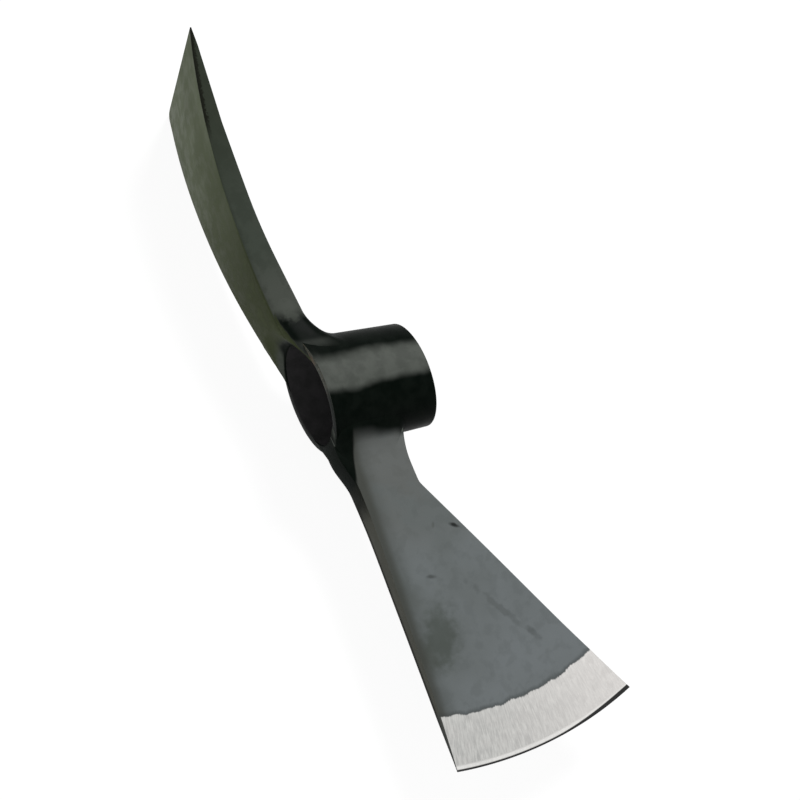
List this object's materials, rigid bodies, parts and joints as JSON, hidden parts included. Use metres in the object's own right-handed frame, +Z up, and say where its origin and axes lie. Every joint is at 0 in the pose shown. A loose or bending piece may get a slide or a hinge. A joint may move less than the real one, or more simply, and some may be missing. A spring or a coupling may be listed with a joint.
{
  "type": "mattock head",
  "caption": "Steel mattock head with a round, leaning handle eye, an arched hoe blade on one side and a flared axe blade with a ground, curved edge on the other.",
  "frame": {"origin": "on the axis of the handle eye, half-way between its two rims", "axes": "+X from the hoe to the axe along the head, +Y down through the eye towards the handle, square to the two rims, +Z up with the head lying on its side; the bore leans 7.2 degrees from +Y towards +X"},
  "size_m": [0.2969, 0.0812, 0.0636],
  "materials": {
    "eye_lacquer": "satin black lacquer",
    "hoe_steel": "thin satin lacquer over forged steel",
    "axe_steel": "dark slate scale with a bright ground edge",
    "weld_lacquer": "satin black lacquer over dressed weld"
  },
  "bodies": {
    "root": {"eye_tube": "eye_lacquer", "hoe_blade": "hoe_steel", "axe_blade": "axe_steel", "hoe_weld": "weld_lacquer", "axe_weld_upper": "weld_lacquer", "axe_weld_lower": "weld_lacquer"}
  },
  "joints": []
}
